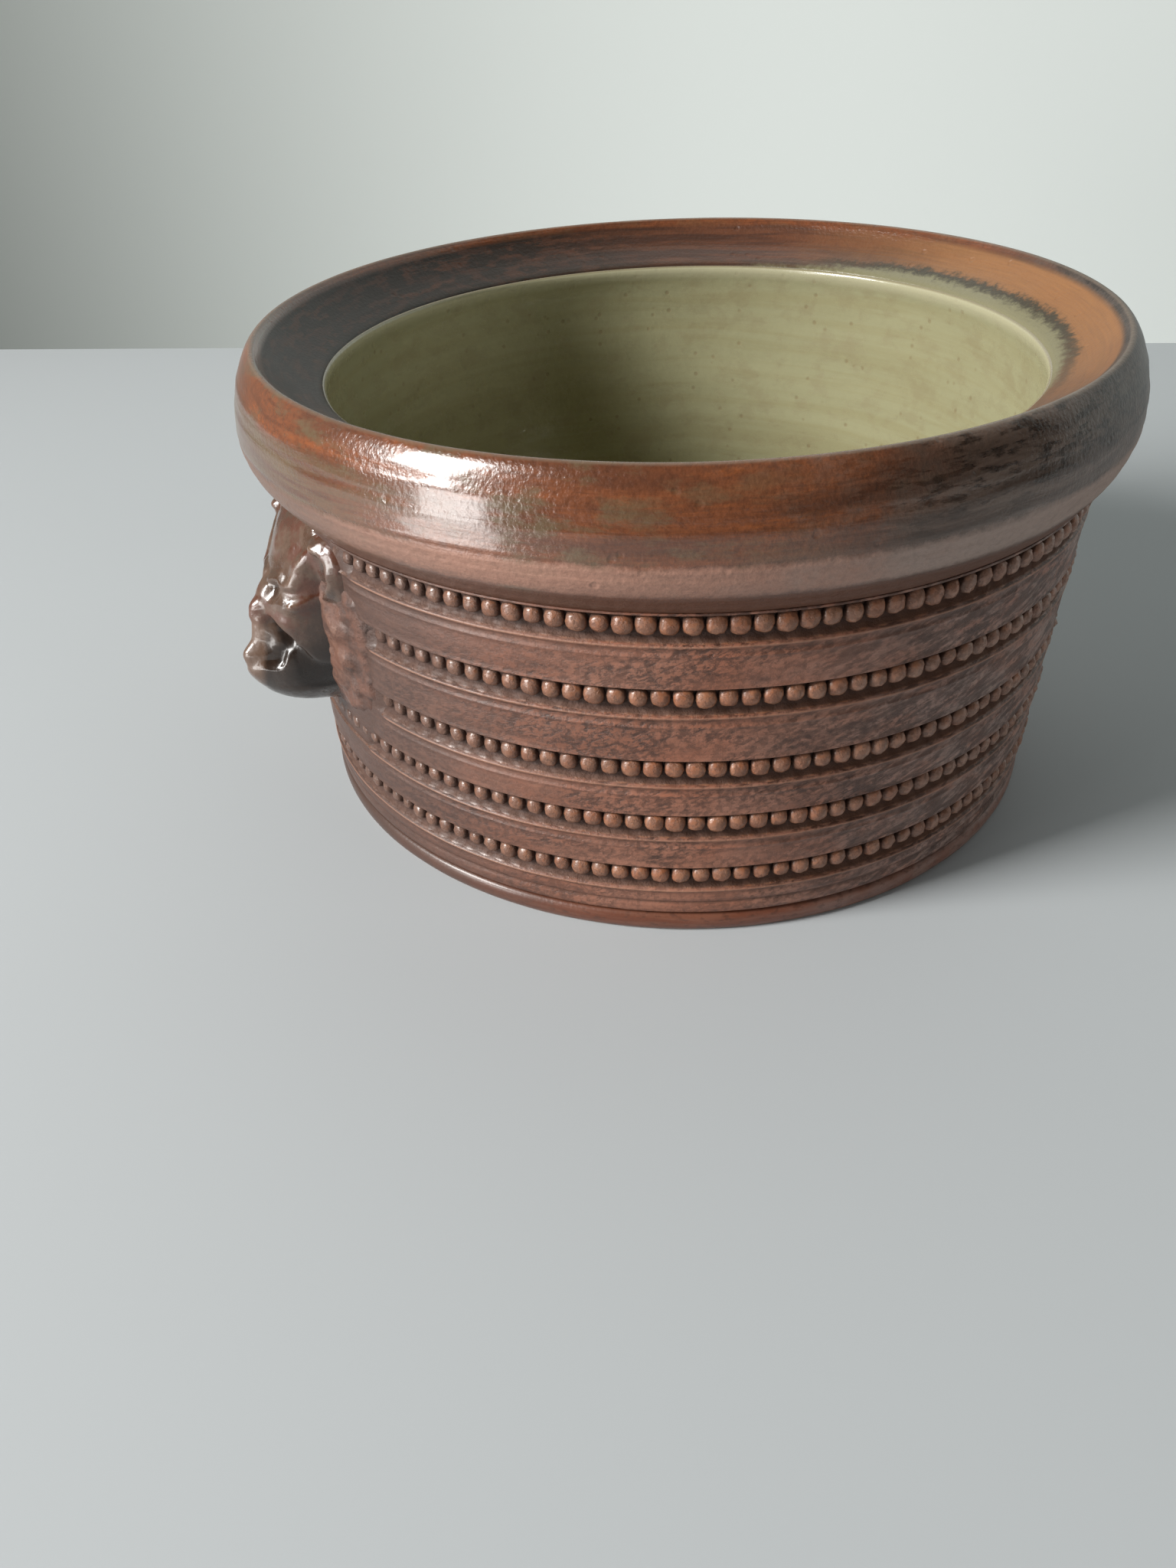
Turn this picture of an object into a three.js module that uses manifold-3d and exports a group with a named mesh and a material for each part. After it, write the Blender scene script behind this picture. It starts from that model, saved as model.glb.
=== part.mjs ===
// Salt-glazed stoneware pot: a slab base, a wall with five pearl bands, a heavy rolled rim,
// a glazed inside and one animal mask luted to the wall.
// Millimetres, +Z up. The origin is on the pot's axis, at the underside of the base.
// The mask faces -Y.
import * as THREE from 'three'
import * as BufferGeometryUtils from 'three/addons/utils/BufferGeometryUtils.js'
import Module from 'manifold-3d'

const wasm = await Module()
wasm.setup()

// Clearance between neighbouring pieces of clay, and facets round the pot
const seatGap = 0.3
const facets = 48

// Base slab, which stands a little proud of the wall's foot
const baseProud = 0.3
const baseThickness = 4.7
const baseUndercut = 1.6
const floorThickness = 7.5

// Wall: outer radius at the neck, how much narrower it stands on the base, and its thickness
const wallNeckRadius = 93.4
const wallFlare = 4.2
const wallThickness = 10.5
const cornerRadius = 10

// Pearl rows, from the lowest one up
const lowestRowRise = 11.1
const rowSpacings = [13.9, 13.6, 16.5, 15.6]
const neckLip = 0.4

// One pearl and the channel that it lies in
const beadPitch = 4.2
const beadHeight = 3.6
const beadProud = 0.4
const beadCrest = 1.7
const beadWeb = 0.6
const channelDepth = 1.7
const channelClearance = 0.4
const grooveHeight = 1.2
const edgeProud = 0.15

// Thin ridge under each channel, and the band between the lowest ridge and the base
const ridgeHeight = 1.1
const ridgeSkirt = 1.5
const ridgeProud = 0.3
const footLineRise = 3.4
const footHollow = 0.4

// Half of the arc that each row leaves bare behind the mask, in degrees, from the lowest row up
const rowBreaks = [0, 0, 16.5, 17.5, 10.5]

// Rolled rim: how far it hangs over the neck, its crest's setback from there, and the slope inside
const rimHeight = 27.9
const rimOverhang = 6.5
const rimWidestHeight = 11.6
const rimShoulder = 6
const rimUpperShoulder = 10
const crestSetback = 5.2
const crestWidth = 1.7
const crestRound = 0.5
const slopeWidth = 14.3
const ledgeDrop = 9.8
const ledgeUndercut = 12.3

// Glaze inside
const glazeThickness = 0.8

// Mask's middle below the neck, and the clay pad that it is luted on
const maskDrop = 21
const padDrop = 4
const padHalfWidth = 24.5
const padHalfHeight = 19.5
const padRise = 2.2
const padEdge = 0.5
const padSectors = 24
const padRings = 3

// Mask: skull, muzzle, cheeks, jaw, ears, brows, eyes, the creases of the mouth and the tongue.
// across is the distance from the mask's middle, proud the distance out from the wall there,
// rise the height over the mask's middle, and size the three half axes of an ellipsoid.
const skull = { across: 0, proud: 0.6, rise: 6, size: [13, 8.2, 13] }
const muzzle = { across: 0, proud: 6, rise: 0.8, size: [5.6, 8.3, 5.4] }
const cheek = { across: 7, proud: 3.4, rise: -1.5, size: [5.2, 5.4, 7.8] }
const jaw = { across: 0, proud: 6.2, rise: -13, size: [10, 10.4, 10] }
const ear = { across: 12.8, proud: 0.6, rise: 11.6, size: [6.4, 3.8, 7.6], lean: 14 }
const earHollow = { across: 13.8, proud: 5.8, rise: 11.4, size: [3.4, 3.4, 4.8], lean: 14 }
const eyeSocket = { across: 4.3, proud: 9.6, rise: 5.8, size: [2.4, 3, 1.9], lean: -12 }
const mouthCrease = { across: 6.4, proud: 10.8, rise: -6.5, size: [1.6, 4.5, 6.2], lean: -28 }
const brow = { across: 4.6, proud: 6.6, rise: 9.2, size: [3.8, 2.6, 1.9], lean: -18 }
const eye = { across: 4.3, proud: 6.6, rise: 5.8, size: [1.6, 1.6, 1.4] }
const tongue = { across: 0, proud: 9.6, rise: -6.5, size: [4.6, 5.2, 4.8] }
const mainFaces = { sectors: 10, stacks: 7 }
const smallFaces = { sectors: 8, stacks: 5 }

// Fired clay and glaze
const redBrownClay = new THREE.MeshStandardMaterial({ color: 0x7a4f40, roughness: 0.55, metalness: 0 })
const paleFootClay = new THREE.MeshStandardMaterial({ color: 0x8a5a48, roughness: 0.5, metalness: 0 })
const pearlClay = new THREE.MeshStandardMaterial({ color: 0x9b6346, roughness: 0.5, metalness: 0 })
const rimSaltGlaze = new THREE.MeshStandardMaterial({ color: 0x6e3b25, roughness: 0.3, metalness: 0 })
const maskSaltGlaze = new THREE.MeshStandardMaterial({ color: 0x4c342b, roughness: 0.22, metalness: 0 })
const padClay = new THREE.MeshStandardMaterial({ color: 0x664a40, roughness: 0.6, metalness: 0 })
const oliveGlaze = new THREE.MeshStandardMaterial({ color: 0x8d8862, roughness: 0.25, metalness: 0 })

// Heights and radii that follow from the sizes above
const rowHeights = rowSpacings.reduce(
  (heights, spacing) => [...heights, heights.at(-1) + spacing],
  [baseThickness + lowestRowRise]
)
const channelTop = height => height + beadHeight / 2 + channelClearance
const channelBottom = height => height - beadHeight / 2 - grooveHeight
const neckHeight = channelTop(rowHeights.at(-1)) + neckLip
const ornamentProud = Math.max(beadProud, ridgeProud, edgeProud)
const wallFootRadius = wallNeckRadius - wallFlare
const baseRadius = wallFootRadius + baseProud
const rimRadius = wallNeckRadius + rimOverhang
const crestRadius = rimRadius - crestSetback
const crestHeight = neckHeight + rimHeight
const ledgeRadius = crestRadius - slopeWidth
const ledgeHeight = crestHeight - ledgeDrop
const maskHeight = neckHeight - maskDrop
const padCentreHeight = maskHeight - padDrop
const innerLip = { radius: crestRadius - crestWidth / 2, height: crestHeight - crestRound }
const slopeRise = (innerLip.height - ledgeHeight) / (innerLip.radius - ledgeRadius)

function wallRadiusAt (height) {
  const share = (height - baseThickness) / (neckHeight - baseThickness)
  return wallFootRadius + (wallNeckRadius - wallFootRadius) * share
}

function innerRadiusAt (height) {
  return wallRadiusAt(height) - wallThickness
}

// Turned solid from a closed section of [radius, height] points
function turned (section) {
  const points = section.map(([radius, height]) => new THREE.Vector2(radius, height))
  const geometry = new THREE.LatheGeometry(points, facets)
  return geometry.rotateX(Math.PI / 2)
}

// Points along the quarter circle between the floor and the wall, from the floor outwards
function cornerArc (inset, steps = 2) {
  const centreHeight = floorThickness + cornerRadius
  const centreRadius = innerRadiusAt(centreHeight) - cornerRadius
  const radius = cornerRadius - inset
  return Array.from({ length: steps + 1 }, (unused, step) => {
    const angle = (step / steps) * Math.PI / 2
    return [centreRadius + radius * Math.sin(angle), centreHeight - radius * Math.cos(angle)]
  })
}

function curvePoints (curve, steps) {
  return curve.getPoints(steps).map(point => [point.x, point.y])
}

const vector = (radius, height) => new THREE.Vector2(radius, height)

// Flat disc with a softened edge and a raised floor that the wall's foot stands round
function baseSlab () {
  const floorRadius = cornerArc(0)[0][0] - seatGap
  return turned([
    [0, 0],
    [baseRadius - baseUndercut, 0],
    [baseRadius, baseThickness / 2],
    [baseRadius - baseUndercut / 2, baseThickness],
    [floorRadius, baseThickness],
    [floorRadius, floorThickness],
    [0, floorThickness]
  ])
}

// Wall section: band, crisp lower edge, channel, groove and thin ridge, once for each row
function potWall () {
  const foot = baseThickness + seatGap
  const footLine = foot + footLineRise
  const outside = [
    [wallRadiusAt(foot) - footHollow, foot],
    [wallRadiusAt(foot), (foot + footLine) / 2],
    [wallRadiusAt(footLine) - footHollow, footLine]
  ]
  for (const height of rowHeights) {
    const bottom = channelBottom(height)
    const top = channelTop(height)
    const crest = bottom - ridgeHeight
    const floor = wallRadiusAt(height) - channelDepth
    outside.push(
      [wallRadiusAt(crest - ridgeSkirt), crest - ridgeSkirt],
      [wallRadiusAt(crest) + ridgeProud, crest],
      [floor, bottom],
      [floor, top],
      [wallRadiusAt(top) + edgeProud, top]
    )
  }
  outside.push([wallRadiusAt(neckHeight), neckHeight])
  const inside = cornerArc(0)
  return turned([
    [inside[0][0], foot],
    ...outside,
    [innerRadiusAt(neckHeight), neckHeight],
    ...inside.reverse(),
    [inside.at(-1)[0], foot]
  ])
}

// Closed or broken ring of pearls: hipped studs on a thin web, seated in the row's channel
function pearlBand (row) {
  const height = rowHeights[row]
  const breakAngle = THREE.MathUtils.degToRad(rowBreaks[row])
  const closed = breakAngle === 0
  const arc = 2 * (Math.PI - breakAngle)
  const pairs = Math.round(arc * wallRadiusAt(height) / beadPitch / 2)
  const step = arc / pairs / 2
  const backRadius = wallRadiusAt(height) - channelDepth + seatGap
  const webRadius = backRadius + beadWeb
  const pearlRadius = wallRadiusAt(height) + beadProud
  const halfCrest = beadCrest / wallRadiusAt(height) / 2
  const positions = []
  const triangles = []
  const place = (radius, angle, rise) => {
    positions.push(radius * Math.sin(angle), -radius * Math.cos(angle), height + rise)
    return positions.length / 3 - 1
  }
  const quad = (a, b, c, d) => triangles.push(a, b, c, a, c, d)
  const upright = (radius, angle) => ({
    top: place(radius, angle, beadHeight / 2),
    bottom: place(radius, angle, -beadHeight / 2)
  })
  const valleys = []
  const backs = []
  const valleyCount = closed ? 2 * pairs : 2 * pairs + 1
  for (let index = 0; index < valleyCount; index++) {
    const angle = breakAngle + index * step
    valleys.push(upright(webRadius, angle))
    if (index % 2 === 0) backs.push(upright(backRadius, angle))
  }
  const valley = index => valleys[index % valleys.length]
  const back = index => backs[index % backs.length]
  for (let index = 0; index < 2 * pairs; index++) {
    const middle = breakAngle + (index + 0.5) * step
    const left = place(pearlRadius, middle - halfCrest, 0)
    const right = place(pearlRadius, middle + halfCrest, 0)
    const from = valley(index)
    const to = valley(index + 1)
    quad(from.top, left, right, to.top)
    quad(from.bottom, to.bottom, right, left)
    triangles.push(from.top, from.bottom, left)
    triangles.push(to.top, right, to.bottom)
  }
  for (let pair = 0; pair < pairs; pair++) {
    const [first, middle, last] = [0, 1, 2].map(offset => valley(2 * pair + offset))
    const from = back(pair)
    const to = back(pair + 1)
    triangles.push(first.top, middle.top, from.top, middle.top, last.top, to.top)
    triangles.push(middle.top, to.top, from.top)
    triangles.push(first.bottom, from.bottom, middle.bottom, middle.bottom, to.bottom, last.bottom)
    triangles.push(middle.bottom, from.bottom, to.bottom)
    quad(from.top, to.top, to.bottom, from.bottom)
  }
  if (!closed) {
    const [start, startBack] = [valleys[0], backs[0]]
    const [end, endBack] = [valleys.at(-1), backs.at(-1)]
    quad(start.top, startBack.top, startBack.bottom, start.bottom)
    quad(end.top, end.bottom, endBack.bottom, endBack.top)
  }
  return meshGeometry(positions, triangles)
}

function meshGeometry (positions, triangles) {
  const geometry = new THREE.BufferGeometry()
  geometry.setAttribute('position', new THREE.Float32BufferAttribute(positions, 3))
  geometry.setIndex(triangles)
  return geometry
}

// Heavy rolled rim: cove, belly, narrow crest and the slope down to the ledge inside
function rolledRim () {
  const seat = neckHeight + seatGap
  const widest = neckHeight + rimWidestHeight
  const lowerBelly = new THREE.QuadraticBezierCurve(
    vector(wallNeckRadius, seat),
    vector(rimRadius, widest - rimShoulder),
    vector(rimRadius, widest)
  )
  const upperBelly = new THREE.QuadraticBezierCurve(
    vector(rimRadius, widest),
    vector(rimRadius, widest + rimUpperShoulder),
    vector(crestRadius + crestWidth / 2, innerLip.height)
  )
  const glazeReach = glazeThickness + seatGap
  return turned([
    [innerRadiusAt(neckHeight), seat],
    ...curvePoints(lowerBelly, 3),
    ...curvePoints(upperBelly, 4).slice(1),
    [crestRadius, crestHeight],
    [innerLip.radius, innerLip.height],
    [ledgeRadius + glazeReach, ledgeHeight + glazeReach * slopeRise],
    [innerRadiusAt(neckHeight), ledgeHeight - ledgeUndercut],
    [innerRadiusAt(neckHeight), seat]
  ])
}

// Glaze coat over the floor, the corner and the wall inside, up to the ledge
function glazeLining () {
  const surface = inset => [
    [0, floorThickness + inset],
    ...cornerArc(inset),
    [innerRadiusAt(neckHeight) - inset, neckHeight],
    [innerRadiusAt(neckHeight) - inset, ledgeHeight - ledgeUndercut]
  ]
  return turned([
    ...surface(seatGap),
    [ledgeRadius + glazeThickness, ledgeHeight + glazeThickness * slopeRise],
    [ledgeRadius, ledgeHeight],
    ...surface(seatGap + glazeThickness).reverse()
  ])
}

// Low lens of clay that follows the wall. grow enlarges it on every side to cut its neighbour.
function lutingPad (grow = 0) {
  const positions = []
  const triangles = []
  const layer = proudAt => {
    const start = positions.length / 3
    for (let ring = 0; ring <= padRings; ring++) {
      const share = ring / padRings
      const count = ring === 0 ? 1 : padSectors
      for (let sector = 0; sector < count; sector++) {
        const turn = 2 * Math.PI * sector / padSectors
        const height = padCentreHeight + (padHalfHeight + grow) * share * Math.sin(turn)
        const angle = (padHalfWidth + grow) * share * Math.cos(turn) / wallRadiusAt(padCentreHeight)
        const radius = wallRadiusAt(height) + ornamentProud + seatGap + proudAt(share)
        positions.push(radius * Math.sin(angle), -radius * Math.cos(angle), height)
      }
    }
    return (ring, sector) => start + (ring === 0 ? 0 : 1 + (ring - 1) * padSectors + sector % padSectors)
  }
  const front = layer(share => padEdge + padRise * (1 - share * share) + grow)
  const back = layer(() => -grow)
  for (let sector = 0; sector < padSectors; sector++) {
    triangles.push(front(0, 0), front(1, sector), front(1, sector + 1))
    triangles.push(back(0, 0), back(1, sector + 1), back(1, sector))
    for (let ring = 1; ring < padRings; ring++) {
      const [a, b] = [front(ring, sector), front(ring, sector + 1)]
      const [c, d] = [front(ring + 1, sector), front(ring + 1, sector + 1)]
      triangles.push(a, c, d, a, d, b)
      const [e, f] = [back(ring, sector), back(ring, sector + 1)]
      const [g, h] = [back(ring + 1, sector), back(ring + 1, sector + 1)]
      triangles.push(e, h, g, e, f, h)
    }
    const [a, b] = [front(padRings, sector), front(padRings, sector + 1)]
    const [c, d] = [back(padRings, sector), back(padRings, sector + 1)]
    triangles.push(a, c, d, a, d, b)
  }
  return meshGeometry(positions, triangles)
}

// Solid for joining and cutting, from a closed geometry
function solidOf (geometry) {
  const bare = geometry.clone()
  bare.deleteAttribute('normal')
  bare.deleteAttribute('uv')
  const merged = BufferGeometryUtils.mergeVertices(bare, 1e-4)
  return new wasm.Manifold(new wasm.Mesh({
    numProp: 3,
    vertProperties: new Float32Array(merged.attributes.position.array),
    triVerts: new Uint32Array(merged.index.array)
  }))
}

function geometryOf (solid) {
  const mesh = solid.getMesh()
  return meshGeometry(Array.from(mesh.vertProperties), Array.from(mesh.triVerts))
}

// Ellipsoid of the mask on the given side (1 right, -1 left), leaning outwards at its top
function lump ({ across, proud, rise, size, lean = 0 }, side = 1, faces = mainFaces) {
  const geometry = new THREE.SphereGeometry(1, faces.sectors, faces.stacks)
  geometry.scale(size[0], size[2], size[1])
  geometry.rotateX(Math.PI / 2)
  geometry.rotateY(THREE.MathUtils.degToRad(lean) * side)
  geometry.translate(across * side, -(wallRadiusAt(maskHeight) + proud), maskHeight + rise)
  return solidOf(geometry)
}

const pairOf = shape => [1, -1].map(side => lump(shape, side))
const smallPairOf = shape => [1, -1].map(side => lump(shape, side, smallFaces))

// Conical core that stands for the decorated wall, with the mask's clearance on it
function wallCore () {
  const reach = ornamentProud + seatGap
  return solidOf(turned([
    [0, baseThickness],
    [wallRadiusAt(baseThickness) + reach, baseThickness],
    [wallRadiusAt(neckHeight) + reach, neckHeight],
    [0, neckHeight]
  ]))
}

function animalMask () {
  const clay = [lump(skull), lump(muzzle), lump(jaw), ...pairOf(cheek), ...pairOf(ear)]
  const hollows = [earHollow, eyeSocket, mouthCrease].flatMap(smallPairOf)
  const raised = [lump(tongue), ...[brow, eye].flatMap(smallPairOf)]
  const join = (whole, piece) => whole.add(piece)
  const cut = (whole, piece) => whole.subtract(piece)
  const head = raised.reduce(join, hollows.reduce(cut, clay.reduce(join)))
  return geometryOf([wallCore(), solidOf(lutingPad(seatGap))].reduce(cut, head))
}

const pot = new THREE.Group()

function addPiece (name, geometry, material) {
  const mesh = new THREE.Mesh(geometry, material)
  mesh.name = name
  pot.add(mesh)
}

addPiece('base_slab', baseSlab(), paleFootClay)
addPiece('pot_wall', potWall(), redBrownClay)
rowHeights.forEach((height, row) => {
  addPiece(`pearl_band_${row + 1}`, pearlBand(row), pearlClay)
})
addPiece('rolled_rim', rolledRim(), rimSaltGlaze)
addPiece('glaze_lining', glazeLining(), oliveGlaze)
addPiece('mask_luting_pad', lutingPad(), padClay)
addPiece('animal_mask', animalMask(), maskSaltGlaze)

export default pot
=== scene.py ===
import random
from functools import partial, reduce
from math import atan2, cos, degrees, exp, hypot, pi, radians, remainder, sin, sqrt

import bpy
from mathutils import Matrix, Vector, noise


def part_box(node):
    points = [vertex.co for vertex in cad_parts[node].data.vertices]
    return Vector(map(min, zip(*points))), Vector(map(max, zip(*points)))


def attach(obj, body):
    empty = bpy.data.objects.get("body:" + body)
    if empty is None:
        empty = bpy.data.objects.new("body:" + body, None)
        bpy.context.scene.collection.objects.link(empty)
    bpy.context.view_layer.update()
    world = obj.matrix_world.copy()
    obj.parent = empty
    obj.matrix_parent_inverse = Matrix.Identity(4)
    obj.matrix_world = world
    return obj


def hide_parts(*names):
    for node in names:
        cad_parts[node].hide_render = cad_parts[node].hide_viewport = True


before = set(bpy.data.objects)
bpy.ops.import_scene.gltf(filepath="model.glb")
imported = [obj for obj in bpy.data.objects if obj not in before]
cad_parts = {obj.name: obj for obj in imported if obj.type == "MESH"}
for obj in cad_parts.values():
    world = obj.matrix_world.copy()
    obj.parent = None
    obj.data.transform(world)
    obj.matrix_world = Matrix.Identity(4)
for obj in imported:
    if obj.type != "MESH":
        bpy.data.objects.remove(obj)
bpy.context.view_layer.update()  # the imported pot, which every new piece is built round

mm = 0.001
weldGap = 0.004 * mm  # vertices closer than this are one
bpy.context.scene.view_settings.view_transform = "Standard"

# Sizes that come from the frame, in millimetres
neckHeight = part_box("pot_wall")[1].z / mm
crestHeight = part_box("rolled_rim")[1].z / mm
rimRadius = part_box("rolled_rim")[1].y / mm
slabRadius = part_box("base_slab")[1].y / mm
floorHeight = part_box("base_slab")[1].z / mm
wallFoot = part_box("pot_wall")[0].z / mm
rowHeights = [sum(corner.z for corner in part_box(f"pearl_band_{row}")) / 2 / mm for row in range(1, 6)]

wallShape = {
    "neckRadius": 93.4,
    "flare": 4.2,  # how much narrower the wall is at its foot
    "thickness": 10.5,
    "steps": 480
}


def wallRadius(height):
    share = (height - wallFoot) / (neckHeight - wallFoot)
    return wallShape["neckRadius"] - wallShape["flare"] * (1 - share)


# The thrown pot isn't quite true: its rim leans over a little and it is slightly out of round
sway = {
    "lean": 1.5,  # mm up or down at the rim
    "leanAzimuth": 149,  # side of the rim that stands highest
    "leanFrom": 70,
    "leanTo": 94,
    "outOfRound": 0.3,
    "ripple": 0.07
}


def lumpAt(x, y, z):
    return noise.noise(Vector((x, y, z)))


def easeBetween(value, start, end):
    share = min(1, max(0, (value - start) / (end - start)))
    return share * share * (3 - 2 * share)


def swayed(point):
    x, y, z = (value / mm for value in point)
    radius = hypot(x, y)
    if radius < 1:
        return point
    outX, outY = x / radius, y / radius
    lean = radians(sway["leanAzimuth"])
    towards = outX * sin(lean) - outY * cos(lean)
    rise = sway["lean"] * towards * radius / rimRadius * easeBetween(z, sway["leanFrom"], sway["leanTo"])
    slow = noise.noise(Vector((outX * 1.3, outY * 1.3, z * 0.012)) + Vector((4, 2, 7)))
    fast = lumpAt(outX * 7, outY * 7, z * 0.35)
    shift = (sway["outOfRound"] * slow + sway["ripple"] * fast) * min(1, radius / 60)
    return Vector((x + outX * shift, y + outY * shift, z + rise)) * mm


def keepNumber(piece, name, values):
    # A number on each vertex, which the materials read
    numbers = piece.data.attributes.new(name, "FLOAT", "POINT")
    numbers.data.foreach_set("value", values)


def keepRelief(piece):
    values = []
    for vertex in piece.data.vertices:
        x, y, z = (value / mm for value in vertex.co)
        values.append(hypot(x, y) - wallRadius(z))
    keepNumber(piece, "relief", values)


def pickOnly(piece):
    bpy.ops.object.select_all(action="DESELECT")
    piece.select_set(True)
    bpy.context.view_layer.objects.active = piece


def applyModifiers(piece):
    pickOnly(piece)
    for modifier in list(piece.modifiers):
        bpy.ops.object.modifier_apply(modifier=modifier.name)


def switchTo(mode):
    bpy.ops.object.mode_set(mode=mode)


def mergeDoubles():
    bpy.ops.mesh.select_all(action="SELECT")
    bpy.ops.mesh.remove_doubles(threshold=weldGap)


def turnPiece(name, outline, steps, angle=2 * pi, startAngle=0):
    # One vertex is drawn out along the outline, and the Screw modifier turns it, as on the wheel
    first = outline[0]
    bpy.ops.mesh.primitive_plane_add(size=mm, location=(first[0] * mm, 0, first[1] * mm))
    piece = bpy.context.object
    piece.name = name
    bpy.ops.object.transform_apply()
    switchTo("EDIT")
    bpy.ops.mesh.merge(type="CENTER")
    for last, point in zip(outline, outline[1:]):
        move = ((point[0] - last[0]) * mm, 0, (point[1] - last[1]) * mm)
        bpy.ops.mesh.extrude_region_move(TRANSFORM_OT_translate={"value": move})
    mergeDoubles()
    switchTo("OBJECT")
    screw = piece.modifiers.new("wheel", "SCREW")
    screw.angle = angle
    screw.steps = screw.render_steps = steps
    screw.use_merge_vertices = angle > 6.28
    screw.merge_threshold = weldGap
    applyModifiers(piece)
    switchTo("EDIT")
    mergeDoubles()
    bpy.ops.mesh.normals_make_consistent(inside=False)
    switchTo("OBJECT")
    piece.data.transform(Matrix.Rotation(startAngle, 4, "Z"))
    return piece


def makeSheet(name, columns, rows):
    # A sheet of clay that reaches from -1 to 1 both ways and stands before the wall
    bpy.ops.mesh.primitive_grid_add(
        x_subdivisions=columns, y_subdivisions=rows, size=2, rotation=(radians(90), 0, 0)
    )
    sheet = bpy.context.object
    sheet.name = name
    bpy.ops.object.transform_apply()
    return sheet


def finishShape(piece, angle):
    # Leans the piece as the whole pot leans, and smooths it up to the angle
    keepNumber(piece, "level", [vertex.co.z / mm for vertex in piece.data.vertices])
    for vertex in piece.data.vertices:
        vertex.co = swayed(vertex.co)
    pickOnly(piece)
    bpy.ops.object.shade_smooth_by_angle(angle=radians(angle))
    print(piece.name, "has", len(piece.data.polygons), "faces")
    return piece


def finishPiece(piece, material, slot, *nodes):
    piece.data.materials.append(material)
    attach(piece, "root")
    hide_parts(*nodes)


# Camera at the photograph's angle
viewpoint = {
    "azimuth": 59,  # round from the mask
    "away": 284.8,
    "height": 178.6,
    "aimAside": 4.795,  # degrees that the aim lies beside the axis
    "down": 35.571,
    "roll": -1.715,
    "lens": 28.125
}


def around(azimuth, distance, height):
    angle = radians(azimuth)
    return Vector((sin(angle) * distance, -cos(angle) * distance, height)) * mm


def addToScene(data):
    made = bpy.data.objects.new(data.name, data)
    bpy.context.scene.collection.objects.link(made)
    return made


def makeCamera():
    data = bpy.data.cameras.new("photoCamera")
    data.lens = viewpoint["lens"]
    data.sensor_width = 36
    data.clip_start = 0.01
    camera = addToScene(data)
    place = around(viewpoint["azimuth"], viewpoint["away"], viewpoint["height"])
    turn = radians(viewpoint["azimuth"] + viewpoint["aimAside"])
    tip = radians(90 - viewpoint["down"])
    camera.matrix_world = (
        Matrix.Translation(place)
        @ Matrix.Rotation(turn, 4, "Z")
        @ Matrix.Rotation(tip, 4, "X")
        @ Matrix.Rotation(radians(viewpoint["roll"]), 4, "Z")
    )
    bpy.context.scene.camera = camera


# Node helpers, which all add to the tree that is being drawn
drawing = {}


def link(value, socket):
    if isinstance(value, bpy.types.NodeSocket):
        drawing["tree"].links.new(value, socket)
    else:
        socket.default_value = value


def fillIn(node, inputs):
    for name, value in inputs.items():
        link(value, node.inputs[name])


def addNode(kind, inputs=None, **settings):
    node = drawing["tree"].nodes.new(kind)
    for name, value in settings.items():
        setattr(node, name, value)
    fillIn(node, inputs or {})
    return node


def startMaterial(name):
    material = bpy.data.materials.new(name)
    material.use_nodes = True
    drawing["tree"] = material.node_tree
    return material, material.node_tree.nodes["Principled BSDF"]


def calculate(operation, *values):
    return addNode("ShaderNodeMath", dict(enumerate(values)), operation=operation).outputs[0]


def chain(operation, *values):
    return reduce(partial(calculate, operation), values)


product = partial(chain, "MULTIPLY")
total = partial(chain, "ADD")
difference = partial(chain, "SUBTRACT")


def softStep(value, start, end):
    # 0 before start and 1 past end
    inputs = {"Value": value, "From Min": start, "From Max": end}
    return addNode("ShaderNodeMapRange", inputs, interpolation_type="SMOOTHSTEP").outputs["Result"]


def mixColour(mask, first, second, mode="MIX"):
    return addNode("ShaderNodeMix", {0: mask, 6: first, 7: second}, data_type="RGBA", blend_type=mode).outputs[2]


def mixNumber(mask, first, second):
    return addNode("ShaderNodeMix", {0: mask, 2: first, 3: second}, data_type="FLOAT").outputs[0]


def takeApart(place):
    parts = addNode("ShaderNodeSeparateXYZ", {0: place}).outputs
    return parts["X"], parts["Y"], parts["Z"]


# Soft window light from the left of the photograph, and a pale wall that gives some of it back
studio = {
    "lights": {  # degrees round from the camera, distance and height; width and length; power
        "window": ((-65, 1500, 930), (0.52, 0.74), 50),
        "windowFoot": ((-52, 1000, 130), (0.3, 0.24), 3),  # what the belly of the rim reflects
        "tableDaylight": ((-48, 600, 2), (0.15, 0.6), 1.9),  # daylight lying on the table
        "roomSide": ((66, 1600, 320), (1, 0.4), 6.5)  # light that comes back from the right
    },
    "daylight": (1, 0.985, 0.96),
    "sideColour": (0.96, 1, 0.99),
    "aimHeight": 60,
    "roomLight": 0.02,
    "roomColour": (0.86, 0.93, 0.93, 1),
    "seenColour": (0.56, 0.6, 0.58, 1),
    "wallAway": 340,
    "wallColour": (0.34, 0.365, 0.35, 1),
    "wallShade": (0.03, 0.035, 0.03, 1),
    "glowColour": (0.96, 1, 0.97, 1),
    "wallGlow": 0.34,
    "wallSize": 5,
    "tableColour": (0.45, 0.475, 0.49, 1),
    "tableSize": 2.4
}


def makeLight(name, colour):
    (aside, away, height), (width, length), power = studio["lights"][name]
    data = bpy.data.lights.new(name, "AREA")
    data.shape = "RECTANGLE"
    data.size = width
    data.size_y = length
    data.energy = power
    data.color = colour
    light = addToScene(data)
    light.location = around(viewpoint["azimuth"] + aside, away, height)
    aim = Vector((0, 0, studio["aimHeight"] * mm)) - light.location
    light.rotation_euler = aim.to_track_quat("-Z", "Y").to_euler()
    light.visible_camera = False
    return light


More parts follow.
